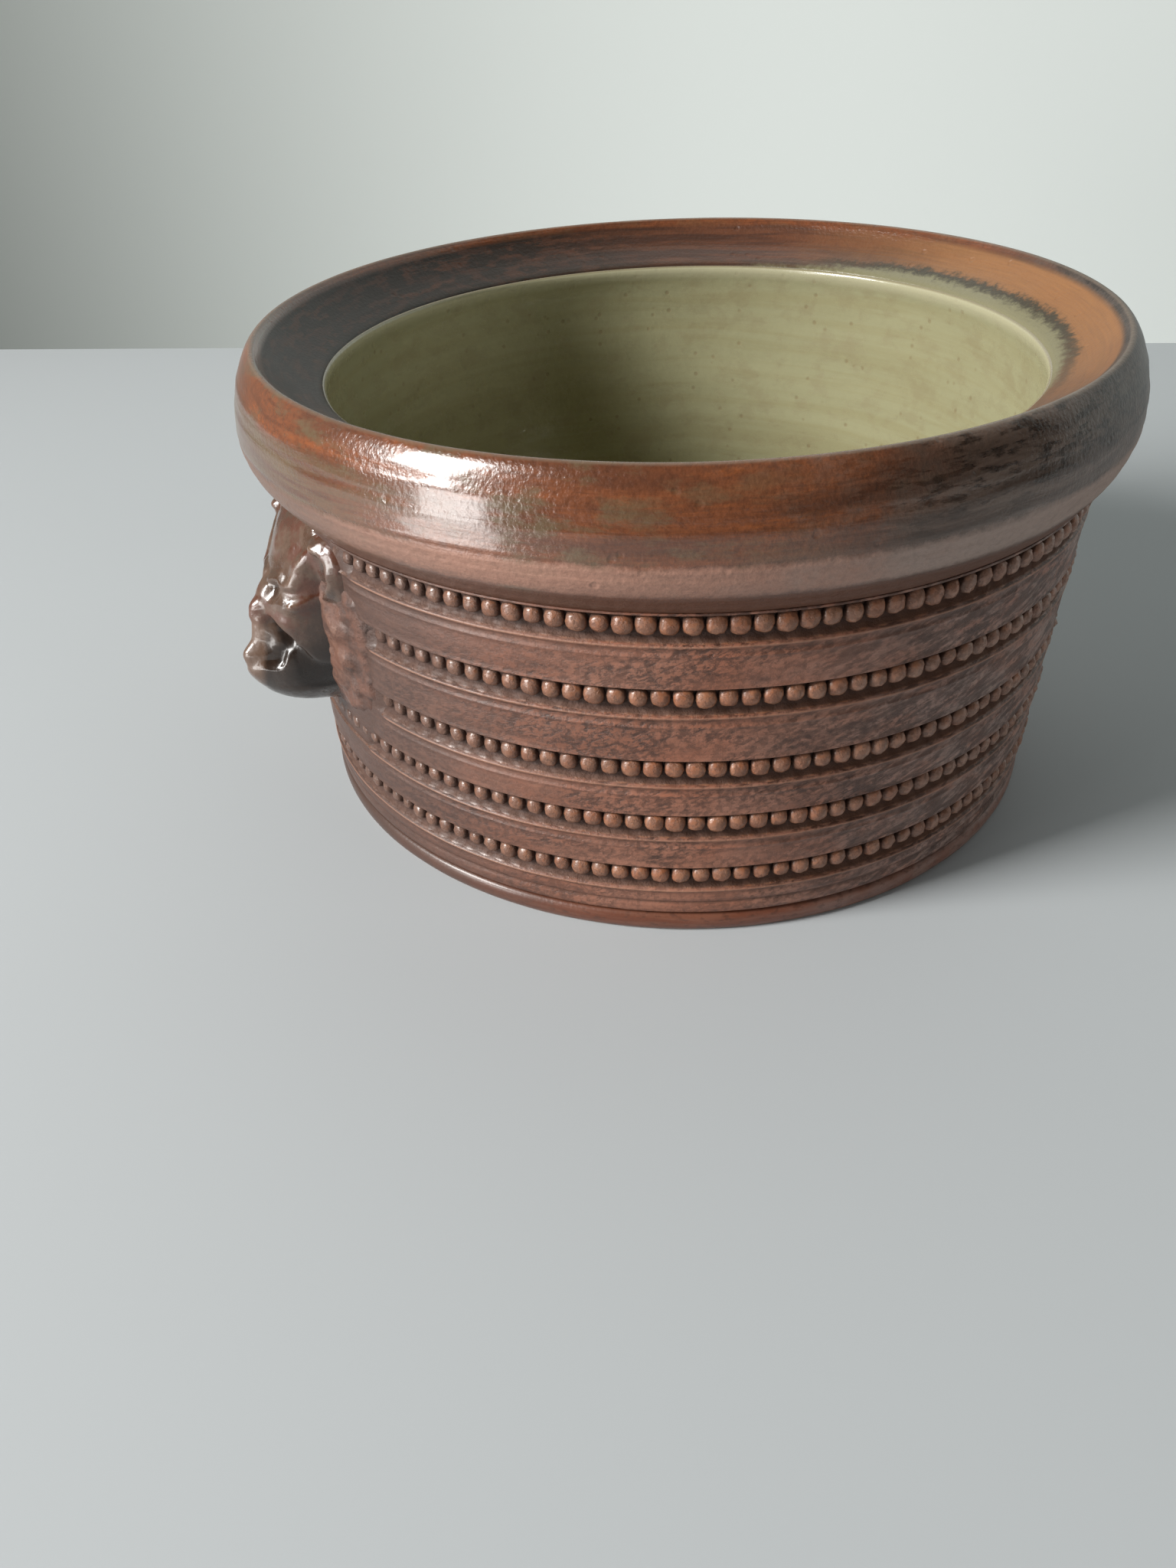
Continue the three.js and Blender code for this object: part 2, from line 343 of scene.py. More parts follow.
def mixShader(mask, first, second):
    return addNode("ShaderNodeMixShader", {0: mask, 1: first, 2: second}).outputs[0]


def makeWallMaterial():
    # The wall glows a little, less at its shaded left end, and seen from behind it lets the view through
    material, shader = startMaterial("paleWall")
    across = takeApart(addNode("ShaderNodeTexCoord").outputs["Object"])[0]
    ends = {"Value": across, "From Min": -0.5, "From Max": 0.1, "To Min": 0.06}
    lit = addNode("ShaderNodeMapRange", ends, interpolation_type="SMOOTHSTEP").outputs["Result"]
    fillIn(shader, {
        "Base Color": mixColour(lit, studio["wallShade"], studio["wallColour"]),
        "Emission Color": mixColour(lit, studio["wallShade"], studio["glowColour"]),
        "Emission Strength": studio["wallGlow"], "Roughness": 0.8, "Specular IOR Level": 0.2
    })
    behind = addNode("ShaderNodeNewGeometry").outputs["Backfacing"]
    clear = addNode("ShaderNodeBsdfTransparent").outputs["BSDF"]
    output = material.node_tree.nodes["Material Output"]
    link(mixShader(behind, shader.outputs["BSDF"], clear), output.inputs["Surface"])
    return material


def makeRoom():
    # The camera sees a paler room, beyond the table's edge, than the one that lights the pot
    world = bpy.data.worlds.new("paleRoom")
    bpy.context.scene.world = world
    world.use_nodes = True
    drawing["tree"] = world.node_tree
    background = world.node_tree.nodes["Background"]
    fillIn(background, {"Color": studio["roomColour"], "Strength": studio["roomLight"]})
    pale = addNode("ShaderNodeBackground", {"Color": studio["seenColour"]}).outputs[0]
    isCamera = addNode("ShaderNodeLightPath").outputs["Is Camera Ray"]
    link(mixShader(isCamera, background.outputs[0], pale), world.node_tree.nodes["World Output"].inputs["Surface"])


def makeStudio():
    makeRoom()
    makeLight("window", studio["daylight"])
    makeLight("windowFoot", studio["daylight"])
    patch = makeLight("tableDaylight", studio["daylight"])
    aside = studio["lights"]["tableDaylight"][0][0]
    patch.rotation_euler = (pi, 0, radians(viewpoint["azimuth"] + aside))
    patch.visible_diffuse = False  # only the glaze shows it
    side = makeLight("roomSide", studio["sideColour"])
    side.visible_glossy = False  # a pale wall, with no edge that the glaze would show
    bpy.ops.mesh.primitive_plane_add(size=studio["tableSize"], location=(0, 0, 0))
    table = bpy.context.object
    table.name = "table"
    material, shader = startMaterial("paleTable")
    fillIn(shader, {"Base Color": studio["tableColour"], "Roughness": 0.5, "Specular IOR Level": 0.1})
    table.data.materials.append(material)
    bpy.ops.mesh.primitive_plane_add(
        size=studio["wallSize"], location=around(viewpoint["azimuth"] + 180, studio["wallAway"], 0),
        rotation=(radians(90), 0, radians(viewpoint["azimuth"]))
    )
    backdrop = bpy.context.object
    backdrop.name = "backdrop"
    backdrop.data.materials.append(makeWallMaterial())


makeCamera()
makeStudio()
print("camera, light and table are in place")


# Pad of soft clay under the mask, whose place the wall needs too
padShape = {
    "halfWidth": 29.5,
    "middle": 53.5,
    "halfHeight": 24.5,
    "columns": 110,
    "rows": 96,
    "flush": 0.25,
    "squareness": 2.6,
    "rise": 2.1,  # thicker where the mask sits
    "riseEdge": (0.36, 0.76),
    "sunkEdge": (0.74, 1),
    "thick": 1.2,
    "lumps": 0.65,
    "sunk": 2.2,
    "lobes": [(16.5, 49.5, 3.4, 1), (17.2, 42.5, 2.8, 0.9), (15.5, 36, 2.6, 0.7), (16.5, 56.5, 3.6, 0.7)]
}  # each lobe: across, height, size and how far it stands proud


# Wall: plain bands with crisp lower edges, a channel for each row of pearls and a thin ridge below it
bandShape = {  # lists of points: rise over the place, and how far the clay stands proud
    "footEdge": [
        (0.25, -0.35), (0.6, -0.05), (1.2, 0.06), (2, 0.05), (2.8, -0.12), (3.2, -0.34),
        (3.5, -0.3), (3.8, -0.06), (4.4, 0.02), (5.2, 0.02)
    ],
    "faintRidge": [(-0.8, 0), (-0.4, 0.03), (-0.15, 0.1), (0, 0.14), (0.2, 0.08), (0.5, -0.1)],
    "ridge": [(-1.1, -0.2), (-0.75, -0.12), (-0.45, 0.12), (-0.2, 0.28), (0, 0.32), (0.18, 0.2)],
    "channel": [(-3.6, -0.55), (-3.1, -1.3), (-2.4, -1.7), (0, -1.75), (1.9, -1.75)],
    "bandEdge": [(-0.12, -1.6), (-0.05, -0.6), (0, 0), (0.08, 0.13), (0.22, 0.16), (0.5, 0.06)],
    "overhang": 2.2,  # band's edge above the middle of the pearls
    "ridgeBelow": 4.1,
    "faintBelow": 6.4,
    "belly": 0.12,
    "pressed": 0.35,  # how deep thumbs pressed the bands beside the mask
    "pressedTo": (22, 28)  # from the mask's middle: where it begins to fade, and where it ends
}


def wallOutline():
    foot = wallFoot - 0.2
    outline = [(wallRadius(foot) - 0.75, foot)]

    def add(place, points):
        for rise, proud in points:
            outline.append((wallRadius(place + rise) + proud, place + rise))

    add(foot, bandShape["footEdge"])
    for height in rowHeights:
        faint = height - bandShape["faintBelow"]
        last = outline[-1][1]
        plain = faint - 0.8 - last
        if plain > 1:
            count = max(2, round(plain / 0.9))
            shares = [step / count for step in range(1, count)]
            add(last, [(plain * share, bandShape["belly"] * sin(pi * share)) for share in shares])
            add(faint, bandShape["faintRidge"])
        add(height - bandShape["ridgeBelow"], bandShape["ridge"])
        add(height, bandShape["channel"])
        add(height + bandShape["overhang"], bandShape["bandEdge"])
    top = neckHeight + 0.3
    outline.append((wallRadius(top) + 0.02, neckHeight))
    outline.append((wallRadius(top) - 0.7, top))
    inside = wallShape["thickness"] - 0.6
    outline += [(wallRadius(height) - inside, height) for height in (top, 20, foot)]
    return outline + outline[:1]


def smearNearMask(piece):
    # Thumbs pressed the bands flat where the mask's pad was luted on
    for vertex in piece.data.vertices:
        x, y, z = (value / mm for value in vertex.co)
        radius = hypot(x, y)
        if y > 0 or radius < wallRadius(z) - 3:
            continue
        wander = 2.5 * lumpAt(x * 0.2, z * 0.25, 6)
        squeeze = 6 * ((z - padShape["middle"]) / padShape["halfHeight"]) ** 4
        clear = easeBetween(abs(x) + wander + squeeze, *bandShape["pressedTo"])
        flat = wallRadius(z) - bandShape["pressed"]
        share = (flat + (radius - flat) * clear) / radius
        vertex.co = Vector((x * share, y * share, z)) * mm


wall = turnPiece("thrown_wall", wallOutline(), wallShape["steps"])
smearNearMask(wall)
keepRelief(wall)
finishShape(wall, 50)


# Rows of pearls that a roulette has pressed, each in its own cell of the channel
pearl = {
    "pitch": 4.2,
    "width": 3.4,
    "tall": 3.4,
    "deep": 3.4,
    "proud": 0.2,
    "roundness": 0.86,
    "cutBack": 0.12,  # share of its depth
    "sizeVaries": 0.07,
    "placeVaries": 0.16,
    "tilts": 0.12,
    "worn": 0.17,  # smaller and flatter near the mask
    "wornWithin": 38,
    "smeared": 0.55,  # the last pearls, when the mask was luted on
    "dents": (1.1, 0.28),  # closeness and depth
    "slips": (0.5, 0.16),
    "breaks": [0, 0, 16, 17.2, 10.6],  # degrees bare on each side of the mask, lowest row first
    "web": [  # the clay behind the pearls: rise over their middle, and how far it stands proud
        (2.15, -0.9), (2, -1.4), (1.1, -1.3), (0, -1.2), (-1.3, -1.3), (-2, -1.4), (-2.6, -1.25),
        (-3.2, -0.85), (-3.7, -0.3), (-4, 0.12), (-4.2, -0.2), (-2.4, -1.95), (2.3, -1.95)
    ],
    "webSteps": 6,
    "webSwells": (1.2, 4.1)  # from and to, below the middle of the pearls
}


def makePearl(height):
    bpy.ops.mesh.primitive_cube_add(size=mm)
    bead = bpy.context.object
    switchTo("EDIT")
    bpy.ops.mesh.subdivide(number_cuts=3)
    bpy.ops.transform.tosphere(value=pearl["roundness"])
    bpy.ops.transform.resize(value=(pearl["deep"], pearl["width"], pearl["tall"]))
    back = -pearl["deep"] * pearl["cutBack"] * mm
    bpy.ops.mesh.bisect(plane_co=(back, 0, 0), plane_no=(1, 0, 0), clear_inner=True, use_fill=True)
    bpy.ops.mesh.select_all(action="SELECT")
    bpy.ops.transform.translate(value=(pearlRadius(height) * mm, 0, height * mm))
    switchTo("OBJECT")
    return bead


def pearlRadius(height):
    return wallRadius(height) + pearl["proud"] - pearl["deep"] / 2


def repeatRound(bead, count, step):
    # The Array modifier turns each copy a step further round the pot
    bpy.ops.object.empty_add(location=(0, 0, 0), rotation=(0, 0, step))
    turn = bpy.context.object
    array = bead.modifiers.new("round the pot", "ARRAY")
    array.use_relative_offset = False
    array.use_object_offset = True
    array.offset_object = turn
    array.count = count
    applyModifiers(bead)
    bpy.data.objects.remove(turn)


def makePearlsUneven(bead, row, count, start, step):
    height = rowHeights[row]
    vertices = len(bead.data.vertices) // count
    chance = random.Random(31 + row)
    for index in range(count):
        angle = start + index * step
        out = Vector((cos(angle), sin(angle), 0))
        middle = out * pearlRadius(height) * mm + Vector((0, 0, height * mm))
        grow = 1 + chance.uniform(-1, 1) * pearl["sizeVaries"]
        sink = chance.uniform(-1, 0.4) * pearl["placeVaries"]
        fromMask = abs(remainder(angle + pi / 2, 2 * pi))
        worn = exp(-(degrees(fromMask) / pearl["wornWithin"]) ** 4) * pearl["worn"]
        grow -= worn
        sink -= 0.6 * worn
        if pearl["breaks"][row]:
            fromEnd = min(index, count - 1 - index)
            sink -= pearl["smeared"] * exp(-fromEnd / 1.6)
        lift = chance.uniform(-1, 1) * pearl["placeVaries"] * 0.7
        tilt = Matrix.Rotation(chance.uniform(-1, 1) * pearl["tilts"], 4, out)
        shift = out * sink * mm + Vector((0, 0, lift * mm))
        for vertex in bead.data.vertices[index * vertices:(index + 1) * vertices]:
            dent, slip = (
                noise.noise(vertex.co / mm * closeness + Vector((aside, 0, 40 * row))) * depth * mm
                for aside, (closeness, depth) in ((0, pearl["dents"]), (9, pearl["slips"]))
            )
            local = tilt @ ((vertex.co - middle) * grow)
            vertex.co = middle + local + shift + out * dent + Vector((0, 0, slip))


def makeWeb(row, count, arc, start, step):
    height = rowHeights[row]
    section = [(wallRadius(height + rise) + proud, height + rise) for rise, proud in pearl["web"]]
    web = turnPiece(f"web_{row}", section + section[:1], count * pearl["webSteps"], arc, start - step / 2)
    high, low = pearl["webSwells"]
    for vertex in web.data.vertices:
        angle = atan2(vertex.co.y, vertex.co.x) - start
        below = height - vertex.co.z / mm
        if high < below < low:
            swell = cos(2 * pi * angle / step) * sin(pi * (below - high) / (low - high))
            out = Vector((vertex.co.x, vertex.co.y, 0)).normalized()
            vertex.co -= out * 0.1 * swell * mm
            vertex.co.z -= 0.05 * swell * mm
    return web


def makeRow(row):
    height = rowHeights[row]
    bare = radians(pearl["breaks"][row])
    arc = 2 * (pi - bare)
    count = round(arc * wallRadius(height) / pearl["pitch"])
    step = arc / count
    start = bare + step / 2 - pi / 2
    bead = makePearl(height)
    bead.data.transform(Matrix.Rotation(start, 4, "Z"))
    repeatRound(bead, count, step)
    makePearlsUneven(bead, row, count, start, step)
    web = makeWeb(row, count, arc, start, step)
    pickOnly(bead)
    web.select_set(True)
    bpy.ops.object.join()
    bead.name = f"pearl_row_{row + 1}"
    keepRelief(bead)
    return finishShape(bead, 60)


pearlRows = [makeRow(row) for row in range(len(rowHeights))]


# Heavy rolled rim, its narrow crest and the hollow slope down to the ledge
rimShape = {
    "outside": [
        (-0.9, -0.3), (-0.35, 0.02), (0.05, 0.42), (0.35, 0.7), (1, 1.3), (2, 2.45), (3.1, 3.8),
        (4.2, 5.3), (5.2, 7.1), (5.95, 9.1), (6.4, 11.2), (6.5, 13.1), (6.4, 15.2), (6.1, 17.4),
        (5.6, 19.6), (4.9, 21.8), (4.1, 23.8), (3.2, 25.6), (2.4, 26.8), (1.75, 27.5), (1.25, 27.8)
    ],  # beyond the neck's radius and above the neck
    "inside": [
        (0.95, 27.85), (0.55, 27.75), (0.1, 27.4), (-0.6, 26.6), (-1.9, 25.2), (-3.6, 23.6),
        (-5.6, 22.1), (-7.8, 20.8), (-9.8, 19.8), (-11.4, 19.1), (-12.5, 18.5), (-12.9, 18.05),
        (-13, 17.4), (-12.7, 16.2), (-12.2, 14.5), (-11.4, 9), (-10.4, 0)
    ],
    "lines": [(0.055, 2.1), (0.035, 5.3), (0.03, 9.7)],  # depth and closeness of the throwing lines
    "steps": 480
}


def stretches(points):
    # Each point and the next, with the one before them and the one after
    return zip(points[:1] + points[:-2], points, points[1:], points[2:] + points[-1:])


def curveThrough(points, spacing):
    # Smooth line through the points, with a point about every spacing millimetres
    line = []
    for before, start, end, after in stretches([Vector(point) for point in points]):
        parts = max(1, round((end - start).length / spacing))
        for part in range(parts):
            share = part / parts
            a = 2 * start
            b = end - before
            c = 2 * before - 5 * start + 4 * end - after
            d = 3 * start - before - 3 * end + after
            line.append(tuple((a + b * share + c * share ** 2 + d * share ** 3) / 2))
    return line + [tuple(points[-1])]


def rimOutline():
    base = Vector((wallShape["neckRadius"], neckHeight))
    points = [base + Vector(point) for point in rimShape["outside"] + rimShape["inside"]]
    rippled = []
    for radius, height in curveThrough(points, 0.7):
        ripple = sum(
            depth * sin(closeness * (height + 1.7 * radius) + 0.6 * sin(height * 0.9))
            for depth, closeness in rimShape["lines"]
        )
        rippled.append((radius + ripple, height))
    return rippled + rippled[:1]


rim = finishShape(turnPiece("rolled_rim_clay", rimOutline(), rimShape["steps"]), 60)


# Glaze inside, from the ledge down to the middle of the floor
liningShape = {
    "wall": [
        (81.3, 95.9), (80.75, 96.15), (80.15, 95.95), (79.85, 95.3), (79.95, 94.2), (80.5, 92.6),
        (81, 90.2), (81.4, 86), (81.4, 80), (81, 70), (80.3, 56), (79.6, 42),
        (79, 30), (78.2, 22), (76.4, 16), (73.4, 11.9), (69.4, 9.6), (64, 8.8),
        (50, 8.6), (30, 8.6), (0, 8.6)
    ],
    "back": [(0, 7.7), (66, 7.7), (75.5, 10.9), (80.6, 22), (82.6, 70), (82.9, 90), (82.6, 95)],
    "rings": [(0.04, 0.55), (0.015, 1.3)],  # depth and closeness of the finger rings
    "steps": 360
}


def liningOutline():
    outline = []
    for radius, height in curveThrough(liningShape["wall"], 1.6):
        hold = min(1, radius / 40) * (1 - easeBetween(height, 86, 92))
        ring = sum(depth * sin(closeness * (height + radius)) for depth, closeness in liningShape["rings"])
        outline.append((radius + ring * hold, height))
    return outline + liningShape["back"] + outline[:1]


lining = finishShape(turnPiece("olive_glaze_coat", liningOutline(), liningShape["steps"]), 60)


# Flat slab that the pot stands on, with a soft edge
slabShape = {
    "edge": [
        (-3.2, 0), (-1.5, 0), (-0.75, 0.25), (-0.35, 0.8), (-0.08, 1.6), (0, 2.5), (-0.08, 3.3),
        (-0.3, 3.9), (-0.65, 4.3), (-1.1, 4.5), (-2.4, 4.6)
    ],
    "floorInset": 9,  # from the wall's inside to the raised floor's edge
    "floorRise": 7.4,
    "steps": 480
}


def slabOutline():
    edge = [(slabRadius + out, rise) for out, rise in slabShape["edge"]]
    inset = wallRadius(floorHeight) - wallShape["thickness"] - slabShape["floorInset"]
    rise = slabShape["floorRise"]
    return [(0, 0)] + edge + [(inset, edge[-1][1]), (inset, rise), (0, rise)]


slab = finishShape(turnPiece("foot_slab", slabOutline(), slabShape["steps"]), 50)


# Pad of soft clay that the mask was pressed on
def makePad():
    pad = makeSheet("mask_pad", padShape["columns"], padShape["rows"])
    for vertex in pad.data.vertices:
        u, v = vertex.co.x, vertex.co.z
        across = u * padShape["halfWidth"]
        height = padShape["middle"] + v * padShape["halfHeight"]
        wander = 0.09 * lumpAt(across * 0.09, height * 0.09, 3)
        square = padShape["squareness"]
        reach = (abs(u) ** square + abs(v) ** square) ** (1 / square) + wander
        lump = lumpAt(across * 0.2, height * 0.2, 9)
        lump += 0.5 * lumpAt(across * 0.55, height * 0.55, 1)
        proud = padShape["flush"] + padShape["lumps"] * lump
        proud += padShape["rise"] * (1 - easeBetween(reach, *padShape["riseEdge"]))
        for lobeAcross, lobeHeight, size, stand in padShape["lobes"]:
            gap = hypot(abs(across) - lobeAcross, height - lobeHeight) / size
            proud += stand * max(0, 1 - gap * gap) ** 2 * (1 if across > 0 else 0.7)
        proud -= padShape["sunk"] * easeBetween(reach, *padShape["sunkEdge"])
        radius = wallRadius(height) + proud
        angle = across / wallRadius(height)
        vertex.co = Vector((sin(angle) * radius, -cos(angle) * radius, height)) * mm
    solid = pad.modifiers.new("thickness", "SOLIDIFY")
    solid.thickness = padShape["thick"] * mm
    solid.offset = -1
    applyModifiers(pad)
    keepRelief(pad)
    return finishShape(pad, 80)


pad = makePad()


# Animal mask: a sheet of clay raised over the wall, then worked with fingers and a tool.
# Places are across from the mask's middle and up from the table.
maskShape = {
    "halfWide": 24,
    "low": 30.6,
    "high": 79.4,
    "spacing": 0.31,
    "sunk": 2.8,  # how far its skirt lies inside the wall
    "thick": 4,
    "profile": [  # height, and distance from the pot's axis down the middle of the face
        (30, 83), (32, 88), (33, 93.6), (34.6, 99.8), (36.2, 103), (38.4, 105.2), (40.7, 106.3),
        (44.6, 106.6), (47.5, 105.4), (50.5, 104.2), (55, 103.5), (57.7, 103.8), (60, 103.5), (62.4, 102.5),
        (66.4, 100.2), (72, 97.3), (75, 95.4), (77, 93.8), (78.5, 92), (80, 89)
    ],
    "width": [  # height, and half the face's width
        (30, 1.5), (33.3, 3.2), (35, 5.2), (37.5, 7.2), (40, 8.6), (44, 10), (47, 10.8),
        (50, 11.4), (54, 11.7), (58, 11.8), (61, 11.8), (66, 12.2), (70, 12.4), (75, 11.6), (80, 10)
    ],
    "squareness": 2.1,
    "ear": {"middle": (13.6, 68.8), "size": (6.2, 7.8), "lean": 14, "rise": 1.7, "squareness": 2.4},
    "blend": 0.9,
    "forms": [  # path, reach and rise of each push of clay, on both sides
        ([(9.2, 60.4)], 3.2, 0.9),  # cheekbone
        ([(8.4, 56.4)], 3.6, 0.9),  # cheek
        ([(0, 57.6)], 3.4, 2.5), ([(0, 61)], 4.2, 1.1),  # nose
        ([(2.7, 55.4)], 1.7, 1.2),  # wing of the nose
        ([(0, 53.8), (0, 48.6)], 4.2, 2.9),  # tongue
        ([(0, 45.2)], 6.6, 2.5), ([(0, 40.4)], 6, 0.8),  # chin
        ([(3.8, 54.2), (4.8, 52.4), (4.6, 50.4)], 1.2, 0.8),  # curled lip
        ([(4.1, 62.8)], 2.5, -1.4), ([(4.3, 62.7)], 1.1, 0.5),  # eye in its hollow
        ([(1.9, 65), (4.8, 65.9), (7.2, 64.6)], 1.5, 0.6),  # brow
        ([(3.7, 55.4), (5.8, 53.2), (8, 49.8), (9, 45.6), (8.2, 40.6)], 2.1, -2.4),  # mouth
        ([(5.2, 52.8), (5.6, 49.8), (5.2, 46.8)], 1.9, -1.6),
        ([(16, 71.6), (14.2, 68.4), (12.8, 65.6)], 3, -1.2),  # bowl of the ear
        ([(13, 75), (16.4, 73.6), (18.2, 70.8), (18.4, 67.8), (16.2, 64.8), (12.6, 62.4), (10.2, 61)], 1.7, 1.3),
        ([(14, 75.2), (11.2, 72.4), (9.2, 68.6), (8.8, 65.4)], 2.2, 1.1),
        ([(19.4, 65.4), (16.4, 61.8), (13.2, 58.8)], 2.2, -0.9)  # hollow behind the cheek
    ],
    "unevenness": 0.3
}


def readCurve(points, value):
    # Smooth curve through the points, read at a value
    if value <= points[0][0]:
        return points[0][1]
    for before, start, end, after in stretches(points):
        if value <= end[0]:
            span = end[0] - start[0]
            share = (value - start[0]) / span
            leave = (end[1] - before[1]) / (end[0] - before[0]) * span
            reach = (after[1] - start[1]) / (after[0] - start[0]) * span
            a = 2 * start[1] - 2 * end[1] + leave + reach
            b = -3 * start[1] + 3 * end[1] - 2 * leave - reach
            return ((a * share + b) * share + leave) * share + start[1]
    return points[-1][1]


def softMax(first, second, blend):
    share = min(1, max(0, 0.5 + 0.5 * (first - second) / blend))
    return second + (first - second) * share + blend * share * (1 - share)


def distanceTo(path, across, height):
    if len(path) == 1:
        return hypot(across - path[0][0], height - path[0][1])
    nearest = 1000
    for (startX, startZ), (endX, endZ) in zip(path, path[1:]):
        alongX, alongZ = endX - startX, endZ - startZ
        share = ((across - startX) * alongX + (height - startZ) * alongZ) / (alongX ** 2 + alongZ ** 2)
        share = min(1, max(0, share))
        nearest = min(nearest, hypot(across - startX - alongX * share, height - startZ - alongZ * share))
    return nearest


def maskSurface(x, height):
    # Distance of the face from the plane through the pot's axis, and how far it is pushed in or out
    across = abs(x)
    wallHere = sqrt(wallRadius(height) ** 2 - x * x)
    middle = readCurve(maskShape["profile"], height) - wallRadius(height)
    edge = 1 - (across / readCurve(maskShape["width"], height)) ** maskShape["squareness"]
    face = middle * sqrt(max(0, edge)) if middle > 0 else middle
    face += 5 * min(0, edge)
    ear = maskShape["ear"]
    lean = radians(ear["lean"])
    offX, offZ = across - ear["middle"][0], height - ear["middle"][1]
    sideways = (offX * cos(lean) - offZ * sin(lean)) / ear["size"][0]
    upwards = (offX * sin(lean) + offZ * cos(lean)) / ear["size"][1]
    hold = 1 - abs(sideways) ** ear["squareness"] - abs(upwards) ** ear["squareness"]
    lobe = ear["rise"] * sqrt(hold) if hold > 0 else 6 * hold
    rise = softMax(face, lobe, maskShape["blend"])
    hold = easeBetween(rise, -0.5, 2.5)
    pushed = 0
    for path, reach, push in maskShape["forms"]:
        gap = distanceTo(path, across, height) / reach
        if gap < 1:
            pushed += push * (1 - gap * gap) ** 2 * hold
    lump = lumpAt(x * 0.14, height * 0.14, 5) + 0.4 * lumpAt(x * 0.4, height * 0.4, 2)
    rise += pushed + maskShape["unevenness"] * lump * hold
    return wallHere + max(-maskShape["sunk"], rise), pushed


def makeMask():
    wide = round(2 * maskShape["halfWide"] / maskShape["spacing"])
    tall = round((maskShape["high"] - maskShape["low"]) / maskShape["spacing"])
    mask = makeSheet("mask_head", wide, tall)
    middle = (maskShape["low"] + maskShape["high"]) / 2
    pushes = []
    for vertex in mask.data.vertices:
        across = vertex.co.x * maskShape["halfWide"]
        height = middle + vertex.co.z * (maskShape["high"] - maskShape["low"]) / 2
        out, pushed = maskSurface(across, height)
        pushes.append(pushed)
        vertex.co = Vector((across, -out, height)) * mm
    keepNumber(mask, "relief", pushes)
    soften = mask.modifiers.new("soften", "SMOOTH")
    soften.factor = 0.5
    soften.iterations = 3
    applyModifiers(mask)
    switchTo("EDIT")
    bpy.ops.mesh.select_all(action="DESELECT")
    bpy.ops.mesh.select_non_manifold()
    bpy.ops.mesh.extrude_region_move(TRANSFORM_OT_translate={"value": (0, maskShape["thick"] * mm, 0)})
    bpy.ops.mesh.edge_face_add()
    bpy.ops.mesh.select_all(action="SELECT")
    bpy.ops.mesh.normals_make_consistent(inside=False)
    switchTo("OBJECT")
    return finishShape(mask, 80)


mask = makeMask()


# Colours and places for the materials
def palette(**colours):
    # Colours from the 0 to 255 numbers that a picture shows
    return {
        name: tuple(((value / 255 + 0.055) / 1.055) ** 2.4 for value in numbers) + (1,)
        for name, numbers in colours.items()
    }


def paint(look, base, *coats):
    # Each coat: a colour or its name in the look, then where it lies and how strongly
    def read(colour):
        return look[colour] if isinstance(colour, str) else colour

    painted = read(base)
    for coat, *where in coats:
        painted = mixColour(product(*where), painted, read(coat))
    return painted


def readNumber(name):
    return addNode("ShaderNodeAttribute", attribute_name=name).outputs["Fac"]


def onVector(operation, *values):
    return addNode("ShaderNodeVectorMath", dict(enumerate(values)), operation=operation).outputs


def placeInMm():
    return onVector("MULTIPLY", addNode("ShaderNodeTexCoord").outputs["Object"], (1000, 1000, 1000))[0]


def radiusOf(place):
    return onVector("LENGTH", onVector("MULTIPLY", place, (1, 1, 0))[0])["Value"]


def putTogether(x, y, z):
    return addNode("ShaderNodeCombineXYZ", {"X": x, "Y": y, "Z": z}).outputs[0]


def cloudy(place, scale, detail, roughness=0.5):
    inputs = {"Vector": place, "Scale": scale, "Detail": detail, "Roughness": roughness}
    return addNode("ShaderNodeTexNoise", inputs).outputs["Fac"]


def effect(name, output, **inputs):
    # Draws a node group with named inputs, and gives back the function that puts it in a material
    def addSocket(group, label, direction, isColour):
        kind = "NodeSocketColor" if isColour else "NodeSocketFloat"
        return group.interface.new_socket(name=label, in_out=direction, socket_type=kind)

    def drawGroup(draw):
        drawing["tree"] = group = bpy.data.node_groups.new(name, "ShaderNodeTree")
        for label, value in inputs.items():
            addSocket(group, label, "INPUT", isinstance(value, tuple)).default_value = value
        addSocket(group, output, "OUTPUT", output == "Colour")
        result = draw(group.nodes.new("NodeGroupInput").outputs)
        link(result, group.nodes.new("NodeGroupOutput").inputs[output])
        return lambda **values: addNode("ShaderNodeGroup", values, node_tree=group).outputs[output]

    return drawGroup


# Effects that the clay and the glazes share
@effect("turningStreaks", "Streak", Around=0.03, Upright=0.6, Seed=0)
def turningStreaks(given):
    # Streaks that run round the pot, as fingers and sponge leave them
    place = placeInMm()
    x, y = takeApart(place)[:2]
    waver = cloudy(place, 0.03, 1)
    up = total(readNumber("level"), product(radiusOf(place), 0.8), product(waver, 3))
    around = given["Around"]
    upright = total(product(up, given["Upright"]), given["Seed"])
    return cloudy(putTogether(product(x, around), product(y, around), upright), 1, 5, 0.62)


@effect("kilnBloom", "Bloom", Size=12, Flatness=2, Level=0.5, Softness=0.05, Seed=0, Slant=0)
def kilnBloom(given):
    # Cloudy patches with broken edges. Level is where they start, and a lower one covers more.
    x, y, z = takeApart(placeInMm())
    share = calculate("DIVIDE", 1, given["Size"])
    along = total(product(x, 0.5), product(y, 0.86))
    climb = total(z, product(along, given["Slant"]))
    place = putTogether(
        total(product(x, share), given["Seed"]), product(y, share), product(climb, share, given["Flatness"])
    )
    level, softness = given["Level"], given["Softness"]
    return softStep(cloudy(place, 1, 8, 0.66), difference(level, softness), total(level, softness))


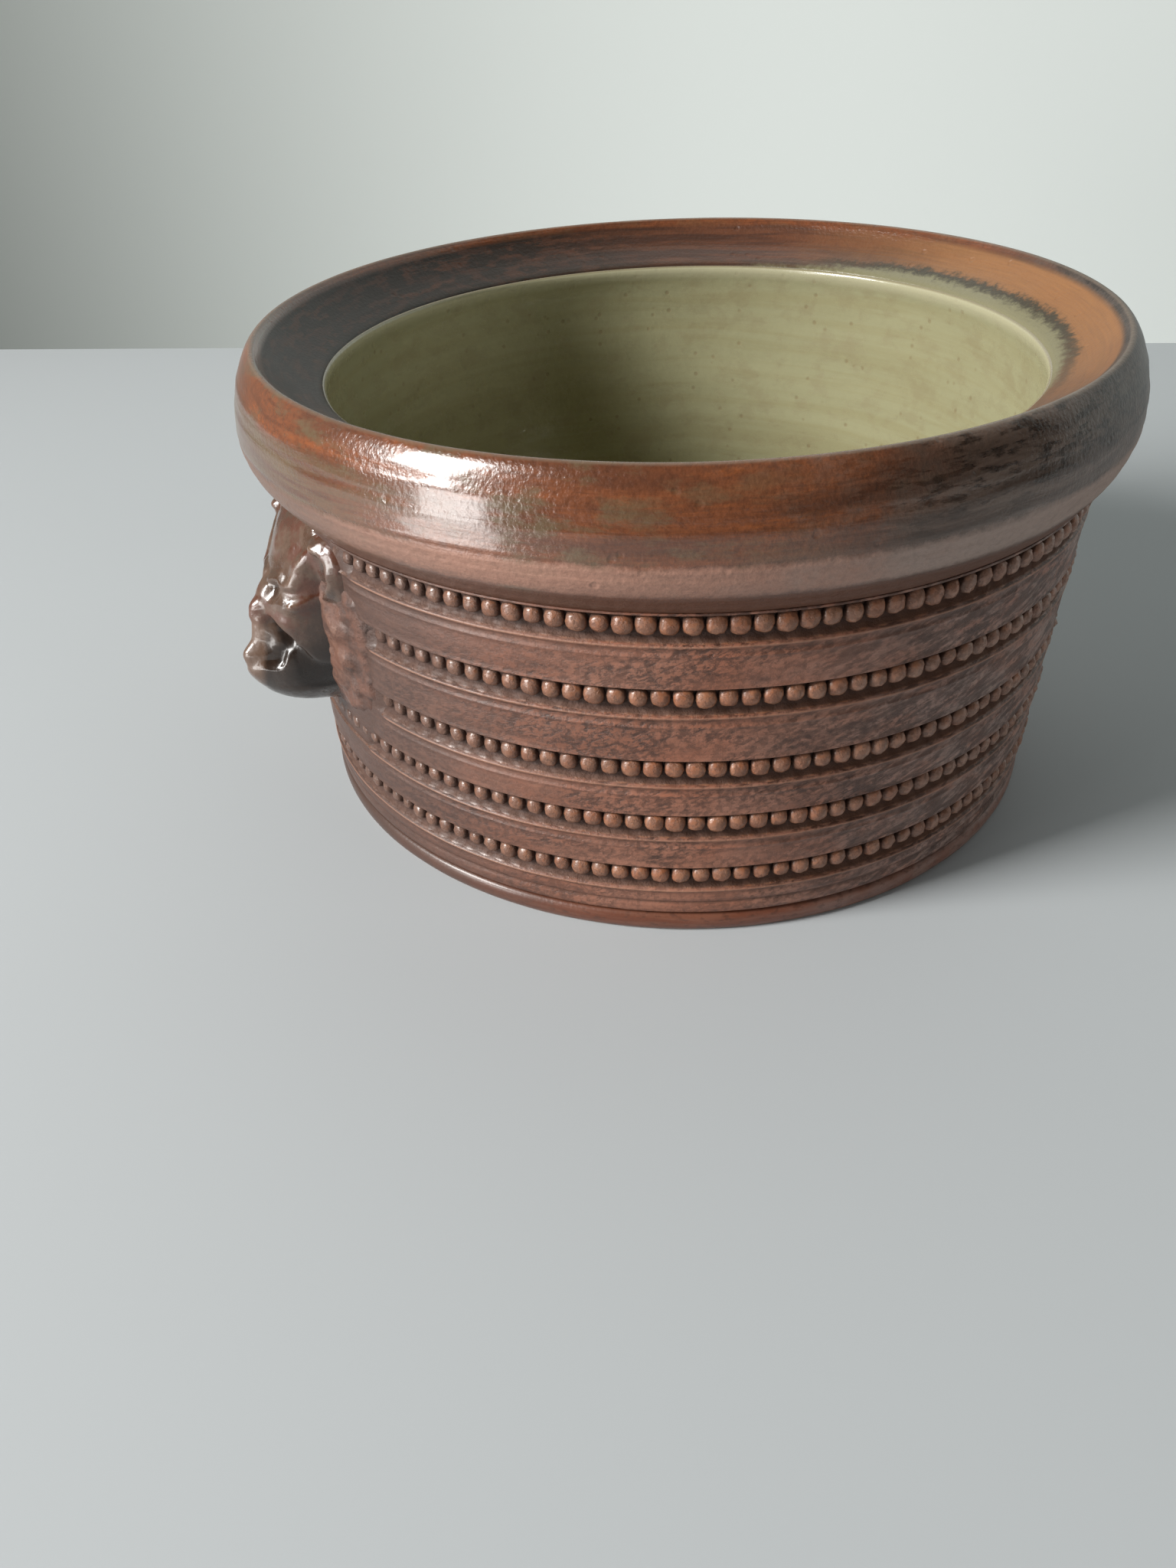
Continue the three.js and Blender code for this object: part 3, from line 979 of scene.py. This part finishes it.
@effect("kilnSpecks", "Specks", Size=2, Share=0.3, Seed=0)
def kilnSpecks(given):
    # Round specks or pits, one in some of the cells
    place = onVector("ADD", placeInMm(), given["Seed"])[0]
    scale = calculate("DIVIDE", 1, given["Size"])
    cells = addNode("ShaderNodeTexVoronoi", {"Vector": place, "Scale": scale}).outputs
    chance = addNode("ShaderNodeSeparateColor", {0: cells["Color"]}).outputs[0]
    return product(softStep(cells["Distance"], 0.34, 0.12), calculate("LESS_THAN", chance, given["Share"]))


@effect("saltPeel", "Height", Size=0.8, Depth=0.03, Grain=0.01)
def saltPeel(given):
    # Orange peel of salt glaze: its height in millimetres
    place = placeInMm()
    scale = calculate("DIVIDE", 1, given["Size"])
    grain = cloudy(place, product(scale, 3.1), 2)
    return total(product(cloudy(place, scale, 1.5), given["Depth"], 2), product(grain, given["Grain"], 2))


@effect("sideMask", "Side", Azimuth=90, Reach=40, Softness=15, Wander=12, Seed=0)
def sideMask(given):
    # One side of the pot: degrees round from the mask, half width and softness
    place = placeInMm()
    x, y = takeApart(place)[:2]
    angle = calculate("RADIANS", given["Azimuth"])
    facing = difference(product(x, calculate("SINE", angle)), product(y, calculate("COSINE", angle)))
    away = calculate("DEGREES", calculate("ARCCOSINE", calculate("DIVIDE", facing, radiusOf(place))))
    cloud = cloudy(onVector("ADD", place, given["Seed"])[0], 0.06, 8, 0.72)
    away = total(away, product(difference(cloud, 0.5), given["Wander"], 2))
    reach, softness = given["Reach"], given["Softness"]
    return softStep(away, total(reach, softness), difference(reach, softness))


@effect("heightBand", "Band", Low=80, High=86, Softness=0.5, Wander=0.8)
def heightBand(given):
    # A band between two heights over the table, with edges that wander
    cloud = cloudy(placeInMm(), 0.22, 7, 0.78)
    level = total(readNumber("level"), product(difference(cloud, 0.5), given["Wander"], 4))
    low, high, softness = given["Low"], given["High"], given["Softness"]
    over = softStep(level, difference(low, softness), total(low, softness))
    return product(over, softStep(level, total(high, softness), difference(high, softness)))


firing = palette(Clay=(150, 96, 76), Smoked=(96, 70, 58), Mauve=(160, 134, 124))


@effect("firingSides", "Colour", **firing, Bloom=0.8)
def firingSides(given):
    # The fire smoked the mask's side brown and left a mauve bloom on the other side
    smoked = sideMask(Azimuth=-12, Reach=50, Softness=34, Wander=20)
    mauve = sideMask(Azimuth=128, Reach=44, Softness=26, Wander=24, Seed=40)
    cloud = kilnBloom(Size=9, Flatness=2.4, Level=0.47, Softness=0.12, Seed=3)
    return paint(
        given, "Clay", ("Smoked", smoked, 0.9), ("Mauve", mauve, given["Bloom"], mixNumber(cloud, 0.35, 1))
    )


print("effects:", len(bpy.data.node_groups), "node groups")


def surface(name, look, coatRoughness):
    # Makes a material of what the function gives back: colour, roughness, coat and heights in millimetres
    def makeMaterial(draw):
        material, shader = startMaterial(name)
        colour, roughness, coat, *heights = draw(look)
        bump = addNode("ShaderNodeBump", {"Strength": 1, "Distance": mm, "Height": total(*heights)})
        fillIn(shader, {
            "Base Color": colour, "Roughness": roughness, "Normal": bump.outputs["Normal"],
            "Coat Weight": coat, "Coat Roughness": coatRoughness, "Coat IOR": 1.5
        })
        return material

    return makeMaterial


def fireClay(look, clay, bloom):
    return firingSides(Clay=clay, Smoked=look["smoked"], Mauve=look["mauve"], Bloom=bloom)


# hollow is the colour of painted shade in the channels, crest that of a painted highlight on the ridges
wallLook = palette(
    clay=(143, 90, 68), pinkClay=(152, 106, 87), smoked=(70, 49, 40), mauve=(140, 121, 113),
    hollow=(67, 43, 32), crest=(159, 115, 92), fleck=(66, 43, 34)
)


@surface("wallClay", wallLook, 0.22)
def wallClay(look):
    relief = readNumber("relief")
    streak = turningStreaks(Around=0.05, Upright=1.1)
    cloud = kilnBloom(Size=34, Flatness=2.2, Softness=0.14, Seed=11)
    region = kilnBloom(Size=30, Flatness=2.6, Level=0.52, Softness=0.16, Seed=23)
    fleck = kilnBloom(Size=3, Flatness=3.2, Level=0.54, Softness=0.06, Seed=5, Slant=-0.4)
    fleck = product(fleck, mixNumber(region, 0.1, 0.92))
    bare = kilnBloom(Size=7, Flatness=4.2, Softness=0.06, Seed=91, Slant=-0.3)
    grain = kilnBloom(Size=1.5, Flatness=1.3, Level=0.52, Softness=0.07, Seed=71)
    nearMask = sideMask(Azimuth=0, Reach=34, Softness=22)
    glossy = sideMask(Azimuth=5, Reach=40, Softness=30)
    right = sideMask(Azimuth=112, Reach=36, Softness=16, Wander=14, Seed=81)
    clay = paint(look, "clay", ("pinkClay", cloud, 0.7))
    colour = paint(
        look, fireClay(look, clay, 0.85),
        ("smoked", nearMask, 0.5),
        ("fleck", fleck),
        ("fleck", bare, right, 0.75),
        ("fleck", grain, mixNumber(region, 0.25, 0.85))
    )
    colour = mixColour(1, colour, mixNumber(softStep(streak, 0.35, 0.65), 0.88, 1.08), "MULTIPLY")
    # Painted shade darkens the channels and recesses by relief, and a painted highlight lightens the ridges' crests
    colour = paint(
        look, colour,
        ("hollow", softStep(relief, -0.04, -0.55), 0.85),
        ("crest", softStep(relief, 0.12, 0.3), 0.5)
    )
    return (
        colour, mixNumber(fleck, mixNumber(cloud, 0.42, 0.54), 0.36), mixNumber(glossy, 0.08, 0.13),
        saltPeel(Size=0.7, Depth=0.028, Grain=0.012), product(streak, 0.05), product(grain, -0.03),
        product(fleck, -0.04)
    )


# gap and groove are colours of painted shade around and between the pearls; groove also tints random worn spots
pearlLook = palette(
    clay=(140, 88, 61), palerClay=(151, 106, 80), smoked=(88, 62, 49), mauve=(131, 110, 99),
    gap=(66, 42, 32), groove=(76, 50, 38)
)


@surface("pearlClay", pearlLook, 0.2)
def pearlClay(look):
    relief = readNumber("relief")
    cloud = kilnBloom(Size=5, Flatness=1, Softness=0.1, Seed=2)
    wear = kilnBloom(Size=1.4, Flatness=1, Level=0.52, Softness=0.06, Seed=8)
    # The pearls' receding sides and the channel, where shade is painted
    groove = softStep(relief, -0.15, -0.6)
    nearMask = sideMask(Azimuth=6, Reach=34, Softness=20)
    clay = paint(look, "clay", ("palerClay", cloud, 0.6))
    # Random worn spots, then painted shade on the pearls' sides and in the web between them
    colour = paint(
        look, fireClay(look, clay, 0.6),
        ("groove", wear, 0.4),
        ("groove", groove, 0.9),
        ("gap", softStep(relief, -0.8, -1.3), 0.9)
    )
    shine = mixNumber(nearMask, mixNumber(cloud, 0.2, 0.4), 0.5)
    return (
        colour, mixNumber(groove, mixNumber(wear, 0.34, 0.5), 0.75), product(shine, mixNumber(groove, 1, 0.1)),
        saltPeel(Size=1, Depth=0.08, Grain=0.025), product(wear, -0.06)
    )


footLook = palette(
    clay=(114, 70, 52), rust=(104, 56, 36), smoked=(56, 38, 29), mauve=(128, 106, 98),
    bareEdge=(154, 113, 90), fleck=(66, 43, 34)
)


@surface("footClay", footLook, 0.16)
def footClay(look):
    streak = turningStreaks(Around=0.04, Upright=0.9, Seed=7)
    bare = heightBand(Low=-2, High=0.5, Softness=0.3, Wander=0.25)
    fleck = kilnBloom(Size=2.4, Flatness=2, Level=0.57, Softness=0.05, Seed=9)
    glossy = sideMask(Azimuth=10, Reach=50, Softness=24)
    clay = paint(look, "clay", ("rust", softStep(streak, 0.42, 0.6)))
    colour = paint(look, fireClay(look, clay, 0.7), ("bareEdge", bare, 0.7), ("fleck", fleck, 0.5))
    return (
        colour, mixNumber(streak, 0.34, 0.54), mixNumber(glossy, 0.12, 0.25),
        saltPeel(Size=0.8, Depth=0.025, Grain=0.01), product(streak, 0.06)
    )


# Among the rim's colours, the dark slope colour and the dark band colour are painted shade, and the crest colour a
# painted highlight
rimLook = palette(
    rust=(116, 68, 43), darkRust=(72, 45, 33), orange=(138, 77, 40), olive=(94, 78, 58), smoke=(60, 45, 36),
    black=(34, 28, 23), greyMauve=(102, 86, 76), mauveBand=(156, 116, 99), greyBand=(150, 131, 121),
    brownBand=(100, 77, 66), cove=(92, 58, 42), neckLine=(156, 124, 108), crest=(124, 108, 92),
    slopeBrown=(98, 59, 39), slopeGrey=(38, 28, 21), slopeOrange=(146, 101, 60), glazeEdge=(44, 44, 32),
    glaze=(124, 119, 90)
)
glazeReach = 81.6  # how far from the axis the olive glaze ran up the slope, in mm


@surface("rimGlaze", rimLook, 0.12)
def rimGlaze(look):
    place = placeInMm()
    radius = radiusOf(place)
    level = readNumber("level")
    broad = turningStreaks(Around=0.022, Upright=0.35, Seed=3)
    fine = turningStreaks(Around=0.09, Upright=1.5, Seed=15)
    grain = kilnBloom(Size=1.5, Flatness=1.5, Level=0.53, Softness=0.09, Seed=51)
    cloud = kilnBloom(Size=15, Flatness=3, Level=0.55, Softness=0.07, Seed=17)
    scratch = kilnBloom(Size=6.5, Flatness=4.6, Level=0.53, Softness=0.05, Seed=31)
    left = sideMask(Azimuth=14, Reach=46, Softness=16)
    # Side of the rim towards the mask, where shade is painted on the lower belly and the mauve band
    shadedMaskSide = sideMask(Azimuth=-24, Reach=50, Softness=18, Wander=14, Seed=33)
    right = sideMask(Azimuth=122, Reach=46, Softness=13, Wander=26, Seed=60)
    sooted = sideMask(Azimuth=142, Reach=34, Softness=14, Wander=14, Seed=61)
    upper = softStep(level, 91, 99)
    scratch = product(scratch, mixNumber(upper, 0.35, 1))
    mauve = heightBand(Low=neckHeight + 5.4, High=neckHeight + 11.7, Softness=0.8, Wander=0.9)
    mauve = product(mauve, mixNumber(grain, 0.92, 0.7))
    cove = heightBand(Low=0, High=neckHeight + 5, Softness=0.9, Wander=0.4)
    neckLine = heightBand(Low=neckHeight - 0.3, High=neckHeight + 0.15, Softness=0.12, Wander=0.05)
    # Painted highlight: a paler line along the top edge of the crest
    crest = softStep(level, crestHeight - 0.5, crestHeight - 0.1)

    # The slope inside, where the olive glaze ran over the rim's own in a ragged edge
    inside = product(softStep(radius, 93.2, 92), softStep(level, 90, 93))
    # Painted shade on the left part of the slope, which lies in the crest's shadow; it is also made less glossy
    shadedSlopeSide = sideMask(Azimuth=-50, Reach=62, Softness=30, Wander=18, Seed=90)
    warmSide = sideMask(Azimuth=160, Reach=40, Softness=24, Wander=14, Seed=70)
    edgeSide = sideMask(Azimuth=172, Reach=40, Softness=22, Wander=16, Seed=120)
    ragged = product(difference(cloudy(place, 0.5, 7, 0.72), 0.5), 7, mixNumber(edgeSide, 0.2, 1))
    overlap = difference(total(glazeReach, product(edgeSide, 4.2), ragged), radius)
    slope = paint(
        look, "slopeBrown",
        ("darkRust", softStep(broad, 0.42, 0.6)),
        ("darkRust", grain, 0.3),
        ("slopeGrey", shadedSlopeSide, mixNumber(scratch, 1, 0.5)),
        ("slopeOrange", warmSide, mixNumber(fine, 0.5, 1.1)),
        ("glazeEdge", softStep(overlap, -1.4, 0.5), mixNumber(edgeSide, 0.2, 0.92)),
        ("glaze", softStep(overlap, 0.8, 3.4))
    )
    smoke = paint(
        look, "greyMauve",
        ("smoke", softStep(broad, 0.4, 0.6), 0.7),
        ("black", scratch, mixNumber(grain, 0.95, 0.6))
    )
    # Painted shade: darker rust and a darker band on the mask's side
    shadedRust = paint(look, "darkRust", ("olive", softStep(broad, 0.4, 0.58)))
    band = paint(look, "mauveBand", ("greyBand", right, 0.85), ("brownBand", shadedMaskSide, 0.9))
    colour = paint(
        look, "rust",
        ("darkRust", softStep(broad, 0.42, 0.62), 0.6),
        ("orange", softStep(fine, 0.5, 0.66), softStep(broad, 0.56, 0.42), upper, 0.5),
        ("darkRust", softStep(fine, 0.44, 0.34), 0.4),
        ("darkRust", grain, 0.4),
        ("olive", cloud, mixNumber(left, 0.3, 0.9), mixNumber(grain, 1, 0.6)),
        (smoke, right, 0.92),
        ("black", sooted, upper, mixNumber(grain, 0.75, 0.5)),
        (shadedRust, shadedMaskSide, softStep(level, 101, 97), 0.8),
        (band, mauve),
        ("cove", cove, 0.9),
        ("neckLine", neckLine, 0.8),
        ("crest", crest, 0.45),
        (slope, inside)
    )
    matt = product(inside, mixNumber(shadedSlopeSide, 0.5, 1))
    roughness = total(
        product(mauve, 0.22), product(cove, 0.2), product(fine, 0.1), product(matt, 0.22), product(sooted, 0.2), 0.2
    )
    satin = calculate("MAXIMUM", calculate("MAXIMUM", mauve, cove), matt)
    coat = product(
        mixNumber(satin, 0.85, 0.08), mixNumber(right, 1, 0.3), mixNumber(crest, 1, 0.3), mixNumber(shadedMaskSide, 1, 0.5),
        mixNumber(sooted, 1, 0.2)
    )
    pits = kilnSpecks(Size=3, Share=0.1, Seed=4)
    return (
        colour, roughness, coat,
        saltPeel(Size=0.95, Depth=0.06, Grain=0.016), product(fine, 0.07), product(pits, -0.12)
    )


glazeLook = palette(
    khaki=(155, 152, 120), deeper=(150, 145, 112), speck=(120, 98, 70), ledge=(172, 168, 140), thin=(112, 96, 66)
)


@surface("oliveGlaze", glazeLook, 0.1)
def oliveGlaze(look):
    level = readNumber("level")
    streak = turningStreaks(Around=0.012, Upright=0.3, Seed=21)
    cloud = kilnBloom(Size=7, Flatness=1.3, Level=0.56, Softness=0.1, Seed=13)
    specks = kilnSpecks(Size=2.4, Share=0.14, Seed=2)
    # The glaze is paler up on the ledge, a painted highlight on its lit top, and darker where it thins at its very
    # edge
    colour = paint(
        look, "khaki",
        ("deeper", softStep(streak, 0.4, 0.62)),
        ("speck", cloud, 0.22),
        ("speck", specks, 0.4),
        ("ledge", softStep(level, 92, 94.6), 0.8),
        ("thin", softStep(level, 95.5, 96.1), 0.7)
    )
    return (
        colour, mixNumber(cloud, 0.24, 0.36), mixNumber(streak, 0.6, 0.35),
        saltPeel(Size=2.4, Depth=0.03, Grain=0.006), product(specks, -0.03), product(streak, 0.04)
    )


padLook = palette(clay=(96, 63, 49), pale=(120, 86, 70), hollow=(57, 39, 32))


@surface("padClay", padLook, 0.2)
def padClay(look):
    relief = readNumber("relief")
    cloud = kilnBloom(Size=6, Flatness=1.2, Softness=0.1, Seed=19)
    smear = kilnBloom(Size=3, Flatness=0.8, Level=0.52, Softness=0.08, Seed=29)
    # hollow tints random darker clouds, and by relief paints shade where the pad lies low at its edges
    colour = paint(
        look, "clay",
        ("hollow", cloud, 0.7),
        ("pale", smear, softStep(relief, 0.5, 2.4), 0.7),
        ("hollow", softStep(relief, 0.1, -0.8), 0.6)
    )
    return (
        colour, mixNumber(smear, 0.6, 0.45), mixNumber(smear, 0.04, 0.2),
        saltPeel(Size=1.1, Depth=0.07, Grain=0.025), product(smear, 0.1)
    )


# The mask's dark colour is painted shade, and its ridge colour a painted highlight
maskLook = palette(glaze=(74, 54, 42), mauve=(98, 76, 62), dark=(32, 22, 16), red=(82, 40, 25), ridge=(124, 97, 80))


@surface("maskGlaze", maskLook, 0.09)
def maskGlaze(look):
    pushed = readNumber("relief")
    level = readNumber("level")
    cloud = kilnBloom(Size=9, Flatness=0.8, Softness=0.12, Seed=37)
    redCloud = kilnBloom(Size=7, Flatness=1, Level=0.53, Softness=0.07, Seed=43)
    deep = softStep(pushed, -0.5, -1.5)
    # Painted shade on the lower face and in the pushed-in hollows, and a painted highlight on the pushed-out ridges
    colour = paint(
        look, "glaze",
        ("mauve", cloud, 0.75),
        ("dark", softStep(level, 58, 49), 0.8),
        ("ridge", softStep(pushed, 0.6, 1.6), 0.5),
        ("dark", softStep(pushed, -0.35, -1.4), 0.9),
        ("red", redCloud, softStep(level, 52, 58), 0.7)
    )
    pits = kilnSpecks(Size=2.6, Share=0.12, Seed=6)
    return (
        colour, mixNumber(cloud, 0.22, 0.36), product(mixNumber(cloud, 0.8, 0.45), mixNumber(deep, 1, 0.25)),
        saltPeel(Size=2.2, Depth=0.1, Grain=0.02), product(pits, -0.1)
    )


finishPiece(slab, footClay, "foot_clay", "base_slab")
finishPiece(wall, wallClay, "wall_clay", "pot_wall")
for row, piece in enumerate(pearlRows):
    finishPiece(piece, pearlClay, "pearl_clay", f"pearl_band_{row + 1}")
finishPiece(rim, rimGlaze, "rim_glaze", "rolled_rim")
finishPiece(lining, oliveGlaze, "olive_glaze", "glaze_lining")
finishPiece(pad, padClay, "pad_clay", "mask_luting_pad")
finishPiece(mask, maskGlaze, "mask_glaze", "animal_mask")
print("materials are on the pieces")
